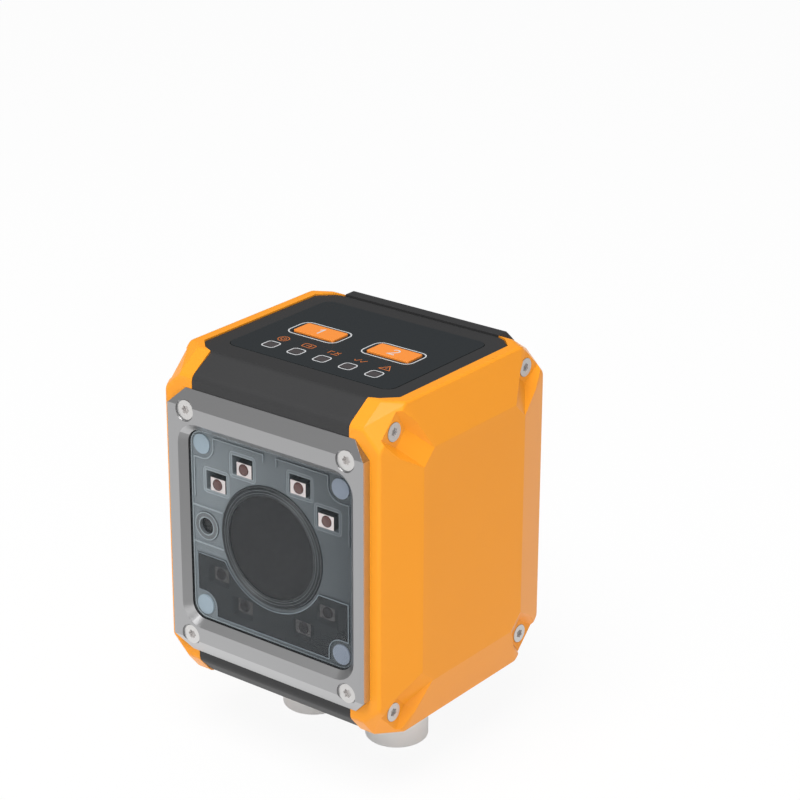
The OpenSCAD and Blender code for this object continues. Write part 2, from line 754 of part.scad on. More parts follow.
// LED packages with domes, on the light board
dome_h = 0.45;
led_face_y = frame_y + 0.1;
low_face_y = filter_back + 0.55;
module package(face_y) {
    difference() {
        slab_y(face_y, board_y, led_w, led_h, -0.15, -0.1);
        rod_y(face_y - over, face_y + 0.5, 0, 0, led_dome_d);
    }
}
module dome(face_y) {
    r = led_dome_d / 2 - 0.05;
    translate([0, face_y + 0.5, 0]) rotate([90, 0, 0]) rotate_extrude($fn = 24)
        polygon([[0, 0], [r, 0], [r, 0.4], [r * 0.92, 0.5 + dome_h * 0.45],
            [r * 0.68, 0.5 + dome_h * 0.8], [r * 0.36, 0.5 + dome_h * 0.96], [0, 0.5 + dome_h]]);
}
module upper_leds() {
    place() color("white") at_upper_leds() package(led_face_y);
}
module upper_led_domes() {
    place() color("firebrick") at_upper_leds() dome(led_face_y - 0.06);
}
module lower_leds() {
    place() color("white") at_lower_leds() package(low_face_y);
}
module lower_led_domes() {
    place() color("firebrick") at_lower_leds() dome(low_face_y - 0.06);
}
module light_board() {
    place() color("darkgreen") difference() {
        slab_y(board_y, board_y + board_t, board_w, board_h - 0.4);
        rod_y(board_y - over, board_y + board_t + over, 0, 0, barrel_d + 2 * fit);
    }
}

// The lens: a barrel with a grooved ring, a dark front glass and three
// elements, standing in a square mount on the sensor board
lens_y = ridge_y + 0.02;
barrel_back = sensor_y - lens_space;
barrel_len = barrel_back - lens_y;
bore_r = barrel_d / 2 - 3.5;
ring_back = frame_y + 1.2;
mount_y = barrel_back - 4;
groove_from = lens_glass_d / 2 + 0.35;
groove_step = (lens_ring_d / 2 - 0.4 - groove_from) / lens_grooves;
module lens_barrel() {
    grooves = [for (i = [lens_grooves - 1:-1:0]) each
        [[groove_from + (i + 0.9) * groove_step, 0],
         [groove_from + (i + 0.5) * groove_step, 0.22],
         [groove_from + (i + 0.1) * groove_step, 0]]];
    place() color("dimgray") translate([0, lens_y, 0]) rotate([-90, 0, 0])
        rotate_extrude($fn = 64) polygon(concat([[lens_ring_d / 2, 0.15],
            [lens_ring_d / 2 - 0.15, 0]], grooves,
            [[lens_glass_d / 2, 0], [lens_glass_d / 2, 1.6], [bore_r, 1.6],
             [bore_r, barrel_len], [barrel_d / 2, barrel_len],
             [barrel_d / 2, ring_back - lens_y], [lens_ring_d / 2, ring_back - lens_y]]));
}
module lens_glass() {
    place() color("black", 0.8)
        rod_y(lens_y + 0.25, lens_y + 1.6, 0, 0, lens_glass_d - 0.1);
}
module lens_group() {
    gap = (barrel_len - 3) / 3;
    place() color("lightblue", 0.5) for (i = [0:2])
        translate([0, lens_y + 2 + i * gap, 0]) rotate([-90, 0, 0]) rotate_extrude($fn = 32)
            polygon([[0, 0], [bore_r * 0.5, 0.4], [bore_r - 0.05, 1.4], [bore_r - 0.05, 3.4],
                [bore_r * 0.5, 4.2], [0, 4.5]]);
}
module lens_mount() {
    place() color("black") difference() {
        slab_y(mount_y, sensor_y, barrel_d + 3, barrel_d + 3);
        rod_y(mount_y - over, barrel_back, 0, 0, barrel_d + 0.04);
        rod_y(mount_y, sensor_y + over, 0, 0, 2 * bore_r);
    }
}

// The aiming light beside the lens: a tube and its lens
aimer_in_d = aimer_d - 3.1;
module aimer_tube() {
    place() color("dimgray") difference() {
        rod_y(ridge_y, board_y, -aimer_x, 0, aimer_d);
        rod_y(ridge_y - over, board_y - 0.8, -aimer_x, 0, aimer_in_d);
    }
}
module aimer_lens() {
    place() color("gray", 0.6)
        rod_y(ridge_y + 1, board_y - 0.8, -aimer_x, 0, aimer_in_d - 0.04);
}

// The sensor board and the main board, the spacers between them, the
// processor and the pad that carries its heat to the rear cover
imager_w = 14;
imager_h = 12;
imager_t = 1.4;
module image_sensor() {
    place() color("darkslateblue") slab_y(sensor_y - imager_t, sensor_y, imager_w, imager_h);
}
module sensor_board() {
    place() color("darkgreen") slab_y(sensor_y, sensor_y + board_t, board_w, board_h);
}
module main_board() {
    place() color("darkgreen") slab_y(main_y, main_y + board_t, board_w, board_h);
}
spacer_x = board_w / 2 - spacer_side;
spacer_z = board_h / 2 - spacer_end;
module spacer(y0, y1) {
    translate([0, y0, 0]) rotate([-90, 0, 0])
        cylinder(h = y1 - y0, d = spacer_af / cos(30), $fn = 6);
}
module board_spacers() {
    place() color("silver") at_four(spacer_x, spacer_z) {
        spacer(board_y + board_t, sensor_y);
        spacer(sensor_y + board_t, main_y);
    }
}
module rear_spacers() {
    place() color("silver") at_four(spacer_x, spacer_z) spacer(main_y + board_t, rear_in_y);
}
processor_w = 15;
processor_t = 1.2;
pad_t = 1.5;
rear_pad_y = main_y + board_t + processor_t + pad_t;
module processor() {
    place() color("black")
        slab_y(main_y + board_t, main_y + board_t + processor_t, processor_w, processor_w);
}
module thermal_pad() {
    place() color("lightgray") slab_y(rear_pad_y - pad_t, rear_pad_y, pad_w, pad_w);
}

// The key panel on top, its two keys, the switches and the board under them
module key_panel() {
    place() color("black") difference() {
        along_z(panel_under, panel_under + panel_t, 0, panel_y)
            polygon(round_rect(panel_w, panel_d, 3));
        for (sx = [1, -1])
            along_z(panel_under - over, top_z + over, sx * key_x, panel_y)
                square([key_w + 2 * key_gap, key_d + 2 * key_gap], center = true);
        for (i = [-2:2])
            along_z(panel_under - over, top_z + over, i * lamp_pitch, lamp_y)
                square([lamp_w + fit, lamp_d + fit], center = true);
    }
}
key_flange_t = 0.7;
key_top = top_z + panel_rise + key_rise;
key_bottom = panel_under - 0.05 - key_flange_t;
module key_cap(side) {
    along_z(key_bottom, panel_under - 0.05, side * key_x, panel_y)
        square([flange_w, flange_d], center = true);
    along_z(panel_under - 0.1, key_top, side * key_x, panel_y)
        polygon(round_rect(key_w, key_d, 0.6, 3));
}
module trigger_key() {
    place() color("orange") key_cap(-1);
}
module tune_key() {
    place() color("orange") key_cap(1);
}
switch_w = 6;
switch_d = 3.6;
module key_switches() {
    place() color("silver") for (sx = [1, -1])
        along_z(wall_in_z, key_bottom - key_travel - 0.3, sx * key_x, panel_y)
            square([switch_w, switch_d], center = true);
}
keypad_board_t = 1.2;
keypad_w = panel_w - 2;
keypad_from = board_y + chamber_leg + 1.5;
keypad_to = back_in_y - chamber_leg - 1.5;
keypad_edge_x = 2.5;
keypad_edge_y = 2.2;
keypad_x = keypad_w / 2 - keypad_edge_x;
keypad_y = (keypad_to - keypad_from) / 2 - keypad_edge_y;
keypad_mid_y = (keypad_from + keypad_to) / 2;
module at_keypad_screws() {
    for (sx = [1, -1], sy = [1, -1])
        translate([sx * keypad_x, keypad_mid_y + sy * keypad_y, wall_in_z]) children();
}
module keypad_board() {
    place() color("darkgreen") difference() {
        along_z(wall_in_z - keypad_board_t, wall_in_z, 0, keypad_mid_y)
            square([keypad_w, keypad_to - keypad_from], center = true);
        at_keypad_screws()
            rod_z(-keypad_board_t - over, over, 0, 0, keypad_screw_d + 5 * fit);
    }
}
module keypad_screws() {
    place() color("silver") at_keypad_screws() {
        rod_z(-keypad_board_t - keypad_head_t, -keypad_board_t, 0, 0, keypad_head_d, $fn = 24);
        rod_z(-keypad_board_t - slice_t, keypad_reach, 0, 0, keypad_screw_d, $fn = 24);
    }
}
lamp_led_t = 0.7;
lamp_led_w = 2;
lamp_led_d = 1.25;
module indicator_lenses() {
    place() color("olive") for (i = [-2:2])
        along_z(wall_in_z + lamp_led_t, top_z + panel_rise, i * lamp_pitch, lamp_y)
            square([lamp_w, lamp_d], center = true);
}
module indicator_leds() {
    place() color("white") for (i = [-2:2])
        along_z(wall_in_z, wall_in_z + lamp_led_t, i * lamp_pitch, lamp_y)
            square([lamp_led_w, lamp_led_d], center = true);
}

// The two connectors: a shell with its flange, a moulded insert with
// contacts, a nut inside the housing, a sealing ring and a push-on cap
shell_len = cap_len - 3.4;
insert_d = shell_d - 3;
flange_d2 = shell_d + 4;
cap_d = flange_d2 + 0.6;
shell_up = wall + nut_t + 0.4;
plug_x = core_x - plug_in;
plug_y = y_mid - plug_front;
seal_w = 1;
seal_in = shell_d / 2 + 0.6;
module at_plugs() {
    for (sx = [1, -1]) translate([sx * plug_x, plug_y, -top_z]) children();
}
module connector_shells() {
    place() color("silver") at_plugs() difference() {
        union() {
            rod_z(-flange_t, 0, 0, 0, flange_d2);
            rod_z(-flange_t - shell_len, shell_up, 0, 0, shell_d);
        }
        rod_z(-flange_t - shell_len - over, shell_up + over, 0, 0, insert_d);
        difference() {
            rod_z(-0.7, over, 0, 0, 2 * (seal_in + seal_w));
            rod_z(-over, 2 * over, 0, 0, 2 * seal_in);
        }
    }
}
module connector_inserts() {
    place() color("black") at_plugs() difference() {
        rod_z(-flange_t - 4, shell_up, 0, 0, insert_d - 0.04);
        contact_rods(-flange_t - 5, shell_up + over, 1.04);
    }
}
module contact_rods(z0, z1, d) {
    rod_z(z0, z1, 0, 0, d, $fn = 16);
    for (i = [0:contacts - 1])
        rotate([0, 0, 45 + i * 360 / contacts])
            rod_z(z0, z1, insert_d * 0.28, 0, d, $fn = 16);
}
module connector_pins() {
    place() color("gold") at_plugs()
        contact_rods(-flange_t - shell_len + 2, shell_up + 2.4, 1);
}
module connector_nuts() {
    place() color("silver") at_plugs() difference() {
        translate([0, 0, wall]) cylinder(h = nut_t, d = nut_af / cos(30), $fn = 6);
        rod_z(wall - over, wall + nut_t + over, 0, 0, shell_d + 0.04);
    }
}
module connector_seals() {
    place() color("black") at_plugs() difference() {
        rod_z(-0.68, 0, 0, 0, 2 * (seal_in + seal_w) - 0.04);
        rod_z(-over, over, 0, 0, 2 * seal_in + 0.04);
    }
}
cap_edge = 0.7;
module cap(side) {
    translate([side * plug_x, plug_y, -top_z - flange_t - cap_len]) difference() {
        rotate_extrude($fn = 64) polygon([[0, 0], [cap_d / 2 - cap_edge, 0],
            [cap_d / 2 - cap_edge * 0.5, cap_edge * 0.13],
            [cap_d / 2 - cap_edge * 0.13, cap_edge * 0.5],
            [cap_d / 2, cap_edge], [cap_d / 2, cap_len], [0, cap_len]]);
        translate([0, 0, cap_len - shell_len - 0.2])
            cylinder(h = shell_len + over, d = shell_d + 0.1);
    }
}
module left_cap() {
    place() color("whitesmoke") cap(-1);
}
module right_cap() {
    place() color("whitesmoke") cap(1);
}

left_cover();
right_cover();
left_cover_screws();
right_cover_screws();
mid_housing();
rear_cover();
rear_gasket();
rear_screws();
front_bezel();
bezel_screws();
front_window();
window_gasket();
window_studs();
light_frame();
lower_filter();
upper_leds();
upper_led_domes();
lower_leds();
lower_led_domes();
light_board();
lens_barrel();
lens_glass();
lens_group();
lens_mount();
aimer_tube();
aimer_lens();
image_sensor();
sensor_board();
board_spacers();
rear_spacers();
main_board();
processor();
thermal_pad();
key_panel();
trigger_key();
tune_key();
key_switches();
keypad_board();
keypad_screws();
indicator_lenses();
indicator_leds();
connector_shells();
connector_inserts();
connector_pins();
connector_nuts();
connector_seals();
left_cap();
right_cap();
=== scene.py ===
from math import cos, hypot, pi, radians, sin

import bmesh
import bpy
from mathutils import Matrix, Vector


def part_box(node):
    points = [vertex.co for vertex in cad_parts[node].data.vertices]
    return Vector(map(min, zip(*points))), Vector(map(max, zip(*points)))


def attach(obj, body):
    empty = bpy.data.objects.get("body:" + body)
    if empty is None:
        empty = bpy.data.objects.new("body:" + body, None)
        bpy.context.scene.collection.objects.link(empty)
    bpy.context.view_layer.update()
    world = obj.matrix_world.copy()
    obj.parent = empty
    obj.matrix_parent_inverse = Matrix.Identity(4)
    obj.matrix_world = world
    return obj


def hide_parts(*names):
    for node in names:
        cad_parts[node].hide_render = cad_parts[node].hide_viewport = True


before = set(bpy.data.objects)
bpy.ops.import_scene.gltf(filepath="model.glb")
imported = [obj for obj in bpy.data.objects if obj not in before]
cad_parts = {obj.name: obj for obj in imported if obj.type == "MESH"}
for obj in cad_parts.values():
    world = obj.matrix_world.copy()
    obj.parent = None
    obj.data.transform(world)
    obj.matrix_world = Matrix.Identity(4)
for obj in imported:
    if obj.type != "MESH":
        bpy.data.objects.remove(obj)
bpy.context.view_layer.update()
MM = 0.001

# Side covers. Two bright orange covers moulded in glass-filled plastic, each
# with a lip that folds over the dark housing and four sunk screw seats. Every
# edge is broken by a small radius, as it comes from the tool.
ORANGE = (0.92, 0.338, 0.020)
ORANGE_DEEP = (0.90, 0.322, 0.018)
COVER_RADIUS = 0.35 * MM
WELD = 0.012 * MM
WIDE_FACE = 12 * MM * MM
FLAT_WITHIN = 0.6
CREASE = 3


def merged_copy(node, name):
    """A copy of a CAD node's mesh with its loose triangles joined and flat areas made whole."""
    shape = bmesh.new()
    shape.from_mesh(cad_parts[node].data)
    bmesh.ops.remove_doubles(shape, verts=shape.verts, dist=WELD)
    bmesh.ops.dissolve_limit(shape, angle_limit=radians(FLAT_WITHIN), verts=shape.verts,
                             edges=shape.edges)
    mesh = bpy.data.meshes.new(name)
    shape.to_mesh(mesh)
    shape.free()
    piece = bpy.data.objects.new(name, mesh)
    bpy.context.scene.collection.objects.link(piece)
    return piece


def soften(piece, radius, angle, segments=2):
    """Rounds the sharp edges of a piece, as moulding or deburring does, and keeps wide
    faces flat: a crease between two of them stays a clean line."""
    shape = bmesh.new()
    shape.from_mesh(piece.data)
    for face in shape.faces:
        face.smooth = True
    for edge in shape.edges:
        pair = edge.link_faces
        if len(pair) == 2 and edge.calc_face_angle() > radians(CREASE):
            if min(face.calc_area() for face in pair) > WIDE_FACE:
                edge.smooth = False
    shape.to_mesh(piece.data)
    shape.free()
    bevel = piece.modifiers.new("edges", "BEVEL")
    bevel.limit_method = "ANGLE"
    bevel.angle_limit = radians(angle)
    bevel.width = radius
    bevel.segments = segments
    bevel.use_clamp_overlap = True
    shading = piece.modifiers.new("flat_faces", "WEIGHTED_NORMAL")
    shading.mode = "FACE_AREA"
    shading.weight = 100
    shading.keep_sharp = True


def coat(mesh, *materials):
    """Gives a mesh these materials in place of its own; every face starts on the first."""
    mesh.materials.clear()
    for material in materials:
        mesh.materials.append(material)


def dress(piece, *materials, body="sensor", node=None, slot=None):
    """Finishes a new piece: its materials, the node it stands for and its body. Its slot is not
    used.
    """
    coat(piece.data, *materials)
    if node:
        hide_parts(node)
    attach(piece, body)


def surface(name, color, roughness, metallic=0.0, specular=0.5):
    """A material with its constants on the shader, ready for grain."""
    material = bpy.data.materials.new(name)
    material.use_nodes = True
    shader = material.node_tree.nodes["Principled BSDF"]
    shader.inputs["Base Color"].default_value = (*color, 1)
    shader.inputs["Roughness"].default_value = roughness
    shader.inputs["Metallic"].default_value = metallic
    shader.inputs["Specular IOR Level"].default_value = specular
    return material


def node_of(tree, kind, **values):
    """A shader node with its settings; a value may also be the output that feeds a socket."""
    node = tree.nodes.new(kind)
    for key, value in values.items():
        socket = key.replace("_", " ")
        if socket not in node.inputs:
            setattr(node, key, value)
        elif isinstance(value, bpy.types.NodeSocket):
            tree.links.new(value, node.inputs[socket])
        else:
            node.inputs[socket].default_value = value
    return node


def grain(material, scale, strength, depth, spread=0.0, detail=6):
    """Fine grain on Object coordinates: a bump with its depth in mm, and a slight spread of
    the roughness about its own value."""
    tree = material.node_tree
    shader = tree.nodes["Principled BSDF"]
    place = tree.nodes.new("ShaderNodeTexCoord")
    noise = node_of(tree, "ShaderNodeTexNoise", Vector=place.outputs["Object"], Scale=scale,
                    Detail=detail, Roughness=0.6)
    bump = node_of(tree, "ShaderNodeBump", Height=noise.outputs["Fac"], Strength=strength,
                   Distance=depth * MM)
    tree.links.new(bump.outputs["Normal"], shader.inputs["Normal"])
    if spread:
        base = shader.inputs["Roughness"].default_value
        sweep = node_of(tree, "ShaderNodeMapRange", Value=noise.outputs["Fac"],
                        To_Min=base - spread, To_Max=base + spread)
        tree.links.new(sweep.outputs["Result"], shader.inputs["Roughness"])


def tint(material, color_a, color_b, scale):
    """A slow change of colour, as between the gate and the end of a moulding."""
    tree = material.node_tree
    place = tree.nodes.new("ShaderNodeTexCoord")
    cloud = node_of(tree, "ShaderNodeTexNoise", Vector=place.outputs["Object"], Scale=scale,
                    Detail=2, Roughness=0.5)
    mix = node_of(tree, "ShaderNodeMix", data_type="RGBA", Factor=cloud.outputs["Fac"],
                  A=(*color_a, 1), B=(*color_b, 1))
    tree.links.new(mix.outputs["Result"], tree.nodes["Principled BSDF"].inputs["Base Color"])


orange = surface("orange_moulding", ORANGE, roughness=0.34, specular=0.22)
grain(orange, scale=2600, strength=0.08, depth=0.02, spread=0.04)
tint(orange, ORANGE, ORANGE_DEEP, scale=30)
for node in ("left_cover", "right_cover"):
    cover = merged_copy(node, node + "_shell")
    soften(cover, COVER_RADIUS, angle=12, segments=3)
    dress(cover, orange, node=node, slot="orange_shell")

# Middle housing and rear cover. Die-cast aluminium with a fine matt black
# powder coat that looks dark grey in the light; the rear cover is the same
# metal and closes the housing with a thin joint behind the key panel.
HOUSING = (0.031, 0.031, 0.032)
HOUSING_PALE = (0.035, 0.035, 0.036)
HOUSING_RADIUS = 0.25 * MM

powder_coat = surface("powder_coat", HOUSING, roughness=0.55, specular=0.3)
grain(powder_coat, scale=1900, strength=0.25, depth=0.03, spread=0.06)
tint(powder_coat, HOUSING, HOUSING_PALE, scale=60)
for node in ("mid_housing", "rear_cover"):
    casting = merged_copy(node, node + "_casting")
    soften(casting, HOUSING_RADIUS, angle=35)
    dress(casting, powder_coat, node=node, slot="dark_housing")

# Bezel. A milled aluminium frame, glass-bead blasted and clear anodised, that
# holds the window. Painted light: its sides are painted lighter, its lower slant
# lighter as a painted reflection of the white floor, and the slant left of the
# window darker as a painted reflection, each picked by the way its faces point.
BEZEL_RADIUS = 0.15 * MM
SIDE_BAND = 0.6 * MM
LEFT_SLANT_X = -24 * MM
SQUARE_ON = 0.9
DOWNWARD, OUTWARD, SIDEWARD = 0.4, 0.3, 0.2
BEZEL_TONES = (("blasted_aluminium", (0.40, 0.40, 0.405)), ("side_painted_light", (0.62, 0.62, 0.6262)),
               ("lower_slant_painted_reflection", (0.51, 0.51, 0.5151)), ("left_slant_painted_dark", (0.31, 0.31, 0.3131)))

bezel_metals = []
for name, tone in BEZEL_TONES:
    metal = surface(name, tone, roughness=0.36, metallic=1.0)
    grain(metal, scale=3200, strength=0.10, depth=0.02, spread=0.05)
    bezel_metals.append(metal)
bezel = merged_copy("front_bezel", "front_bezel_frame")
soften(bezel, BEZEL_RADIUS, angle=20)
dress(bezel, *bezel_metals, node="front_bezel", slot="grey_bezel")
# Painted light: faces are sorted by the way they point; the sides get a lighter tone, the lower
# slant a lighter painted reflection, the left slant a darker one.
side_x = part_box("front_bezel")[1].x - SIDE_BAND
for face in bezel.data.polygons:
    if abs(face.normal.x) > SQUARE_ON and abs(face.center.x) > side_x:
        face.material_index = 1
    elif face.normal.z < -DOWNWARD and face.normal.y < -OUTWARD:
        face.material_index = 2
    elif (face.normal.x > SIDEWARD and face.normal.y < -OUTWARD
          and face.center.x < LEFT_SLANT_X):
        face.material_index = 3

# Screws. Plated steel with countersunk heads and six-lobed sockets: four in each
# cover, four in the bezel and four in the rear cover. Four small ones hold the
# keypad board inside. The socket walls and floors take a rougher, less metallic
# steel as painted light, which makes the sockets lighter than their shade.
SOCKET_REACH = 1.5 * MM
SOCKET_FLOOR_REACH = 1.0 * MM
INWARD = 0.2

screw_steel = surface("plated_steel", (0.64, 0.63, 0.62), roughness=0.3, metallic=0.9)
grain(screw_steel, scale=1500, strength=0.08, depth=0.01, spread=0.06)
# Painted light in the sockets: a rougher, less metallic steel that lifts their shade.
socket_steel = surface("socket_shade", (0.62, 0.60, 0.59), roughness=0.5, metallic=0.4)
grain(socket_steel, scale=1500, strength=0.08, depth=0.01)


def quarter(spot, middle):
    """Which of the four screws round the middle of their group a spot belongs to."""
    return spot[0] > middle[0], spot[1] > middle[1]


coat(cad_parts["keypad_screws"].data, screw_steel)
for node, axis, way in (("left_cover_screws", 0, -1), ("right_cover_screws", 0, 1),
                        ("bezel_screws", 1, -1), ("rear_screws", 1, 1)):
    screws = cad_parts[node].data
    coat(screws, screw_steel, socket_steel)
    plane = (1 - axis, 2)
    spots = [[corner.co[i] for i in plane] for corner in screws.vertices]
    middle = [sum(line) / len(line) for line in zip(*spots)]
    groups = {}
    for spot in spots:
        groups.setdefault(quarter(spot, middle), []).append(spot)
    hubs = {key: Vector([(min(line) + max(line)) / 2 for line in zip(*group)])
            for key, group in groups.items()}
    for face in screws.polygons:
        spot = Vector([face.center[i] for i in plane])
        arm = spot - hubs[quarter(spot, middle)]
        facing = Vector([face.normal[i] for i in plane])
        wall = arm.length < SOCKET_REACH and facing.dot(arm.normalized()) < -INWARD
        bottom = arm.length < SOCKET_FLOOR_REACH and face.normal[axis] * way > SQUARE_ON
        if wall or bottom:
            face.material_index = 1

# Window. A clear scratch-resistant plate with a slight grey tint and a soft
# reflection, pressed on a black rubber gasket. The gasket of the rear cover
# and the seals of the connectors are of the same rubber.
WINDOW_RADIUS = 0.08 * MM
PLATE_IOR = 1.5


def clear_plate(name, color, alpha, roughness, specular=0.5):
    """A smooth see-through material with very slight waves."""
    plate = surface(name, color, roughness, specular=specular)
    shader = plate.node_tree.nodes["Principled BSDF"]
    shader.inputs["Alpha"].default_value = alpha
    shader.inputs["IOR"].default_value = PLATE_IOR
    grain(plate, scale=90, strength=0.01, depth=0.02, spread=0.01, detail=2)
    return plate


window_glass = clear_plate("window_plate", (0.10, 0.115, 0.125), alpha=0.07, roughness=0.04,
                           specular=0.3)
window = merged_copy("front_window", "window_plate")
soften(window, WINDOW_RADIUS, angle=40, segments=1)
dress(window, window_glass, node="front_window", slot="window_clear")

rubber = surface("black_rubber", (0.028, 0.030, 0.032), roughness=0.7)
grain(rubber, scale=900, strength=0.2, depth=0.03)
for node in ("window_gasket", "rear_gasket", "connector_seals"):
    coat(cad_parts[node].data, rubber)

# Light frame. One grey moulding behind the window, painted paler towards the
# left as a painted reflection, with a square well round each light and thin
# ridges that outline the light panels. The front faces of the ridges and the rims
# of the wells are painted pale as painted highlights, the well floors a little
# paler as painted light, and four pale plugs pressed in at its corners take the
# same painted reflection.
SHEEN_REACH = 24 * MM
RIDGE_HEIGHT = 0.37 * MM
WELL_DEPTH = 0.49 * MM
WELL_RIM = 0.3 * MM
WELL_SLACK = 0.04 * MM
FLUSH = 0.01 * MM
FRAME_RADIUS = 0.08 * MM
PLUG_SINK = 0.03 * MM
FRAME_TONES = (("frame_moulding", (0.215, 0.248, 0.268), (0.052, 0.063, 0.072)),
               ("ridge_painted_highlight", (0.35, 0.40, 0.425), (0.13, 0.152, 0.168)),
               ("well_floor_painted_light", (0.25, 0.288, 0.31), (0.075, 0.089, 0.10)),
               ("pale_plug", (0.37, 0.465, 0.535), (0.235, 0.275, 0.345)))


def sheen_fade(name, left, right):
    """Frame plastic whose tone runs from a lighter colour on the left to a darker one on the
    right: a painted reflection.
    """
    material = surface(name, left, roughness=0.5)
    grain(material, scale=1400, strength=0.12, depth=0.02, spread=0.05)
    tree = material.node_tree
    place = tree.nodes.new("ShaderNodeTexCoord")
    axes = node_of(tree, "ShaderNodeSeparateXYZ", Vector=place.outputs["Object"])
    sweep = node_of(tree, "ShaderNodeMapRange", Value=axes.outputs["X"],
                    From_Min=-SHEEN_REACH, From_Max=SHEEN_REACH)
    mix = node_of(tree, "ShaderNodeMix", data_type="RGBA", Factor=sweep.outputs["Result"],
                  A=(*left, 1), B=(*right, 1))
    tree.links.new(mix.outputs["Result"], tree.nodes["Principled BSDF"].inputs["Base Color"])
    return material


def pale_rim(piece, faces, thickness, shape):
    """Insets faces of a piece's bmesh, gives the rim its second material and writes it back."""
    rim = bmesh.ops.inset_region(shape, faces=faces, thickness=thickness,
                                 use_even_offset=True)["faces"]
    for face in rim:
        face.material_index = 1
    shape.to_mesh(piece.data)
    shape.free()


frame_plastic, painted_highlight_plastic, well_painted_light, plug_plastic = [
    sheen_fade(name, left, right) for name, left, right in FRAME_TONES]
ridge_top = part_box("light_frame")[0].y
ridge_foot = ridge_top + RIDGE_HEIGHT / 2
light_frame = merged_copy("light_frame", "light_frame_moulding")
dress(light_frame, frame_plastic, painted_highlight_plastic, well_painted_light, node="light_frame",
      slot="frame_grey")
mould = bmesh.new()
mould.from_mesh(light_frame.data)
wells = []
# Painted highlights on the front faces of the ridges and round the wells, and painted light on
# the well floors.
for face in mould.faces:
    depth = face.calc_center_median().y
    if face.normal.y < -SQUARE_ON and depth < ridge_foot:
        face.material_index = 1
    elif face.normal.y < -SQUARE_ON and abs(depth - ridge_top - WELL_DEPTH) < WELL_SLACK:
        face.material_index = 2
        wells.append(face)
pale_rim(light_frame, wells, WELL_RIM, mould)
soften(light_frame, FRAME_RADIUS, angle=35)

plugs = merged_copy("window_studs", "window_plugs")
plug_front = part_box("window_studs")[0].y
for corner in plugs.data.vertices:
    if corner.co.y < plug_front + FLUSH:
        corner.co.y += PLUG_SINK
dress(plugs, plug_plastic, node="window_studs")

# Lower panel. A smoked plate, clipped into the frame over the four lower lights,
# with a pale band round its front face as a painted highlight on its edge.
PANEL_RIM = 0.28 * MM

smoke = clear_plate("smoked_plate", (0.015, 0.018, 0.021), alpha=0.5, roughness=0.12)
pale_edge = surface("pale_edge", (0.20, 0.24, 0.27), roughness=0.45)
grain(pale_edge, scale=1500, strength=0.1, depth=0.01)
lower = merged_copy("lower_filter", "smoked_panel")
dress(lower, smoke, pale_edge, node="lower_filter", slot="filter_smoke")
plate = bmesh.new()
plate.from_mesh(lower.data)
# Painted highlight: a pale band inset round the front face.
panel_front = [face for face in plate.faces if face.normal.y < -SQUARE_ON]
pale_rim(lower, panel_front, PANEL_RIM, plate)

# Lights. Pale ceramic packages, each with a red-brown silicone dome, soldered to
# a board with a green mask; their sides are painted dark as painted shade for the
# gaps round them in their wells. The boards behind them and the keypad board have
# the same mask.
package_top = surface("led_package", (0.78, 0.71, 0.70), roughness=0.4)
grain(package_top, scale=1500, strength=0.08, depth=0.01)
package_painted_shade = surface("package_painted_shade", (0.035, 0.038, 0.040), roughness=0.35)
grain(package_painted_shade, scale=1500, strength=0.08, depth=0.01)
dome = surface("led_dome", (0.115, 0.052, 0.046), roughness=0.14)
grain(dome, scale=800, strength=0.05, depth=0.01)
solder_mask = surface("solder_mask", (0.012, 0.045, 0.024), roughness=0.6)
grain(solder_mask, scale=700, strength=0.05, depth=0.01, spread=0.05)
for node in ("upper_leds", "lower_leds", "indicator_leds"):
    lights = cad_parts[node].data
    coat(lights, package_top, package_painted_shade)
    # Painted shade: the package sides are dark for the shade in the gaps round them.
    for face in lights.polygons:
        face.material_index = 0 if abs(face.normal.y) > SQUARE_ON else 1
for node in ("upper_led_domes", "lower_led_domes"):
    coat(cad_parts[node].data, dome)
for node in ("light_board", "sensor_board", "main_board", "keypad_board"):
    coat(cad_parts[node].data, solder_mask)

# Lens. A turned barrel in satin black with fine grooves round a dark front
# glass. The groove flanks catch the light, but too fine to read one by one, so
# every second land is painted light here as a painted highlight.
LAND_WIDE = 0.16 * MM
LAND_SORT = 0.2 * MM

barrel = surface("satin_barrel", (0.034, 0.038, 0.041), roughness=0.4, metallic=0.2)
grain(barrel, scale=1800, strength=0.1, depth=0.01, spread=0.05)
painted_groove_glint = surface("painted_groove_glint", (0.34, 0.365, 0.38), roughness=0.3, metallic=0.2)
grain(painted_groove_glint, scale=1800, strength=0.1, depth=0.01, spread=0.05)
lens_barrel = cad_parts["lens_barrel"].data
coat(lens_barrel, barrel, painted_groove_glint)
lens_low, lens_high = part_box("lens_barrel")
lens_z = (lens_low.z + lens_high.z) / 2
lands = {}
for face in lens_barrel.polygons:
    corners = [lens_barrel.vertices[index].co for index in face.vertices]
    reaches = [hypot(corner.x, corner.z - lens_z) for corner in corners]
    narrow = max(reaches) - min(reaches) < LAND_WIDE
    if face.center.y < lens_low.y + FLUSH and narrow:
        lands.setdefault(round(max(reaches) / LAND_SORT), []).append(face)
# Painted highlight: every second land takes the light material.
for land in sorted(lands)[::2]:
    for face in lands[land]:
        face.material_index = 1

dark_glass = clear_plate("dark_glass", (0.010, 0.010, 0.011), alpha=0.97, roughness=0.06,
                         specular=0.3)
pale_glass = clear_plate("pale_glass", (0.30, 0.34, 0.38), alpha=0.5, roughness=0.05)
for node, glass in (("lens_glass", dark_glass), ("aimer_lens", dark_glass),
                    ("lens_group", pale_glass)):
    coat(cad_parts[node].data, glass)

# Aiming light. A grey tube beside the lens with a little dark lens in it; a pale
# rim on its front face is a painted highlight, like those on the ridges of the light frame.
TUBE_RIM = 0.28 * MM

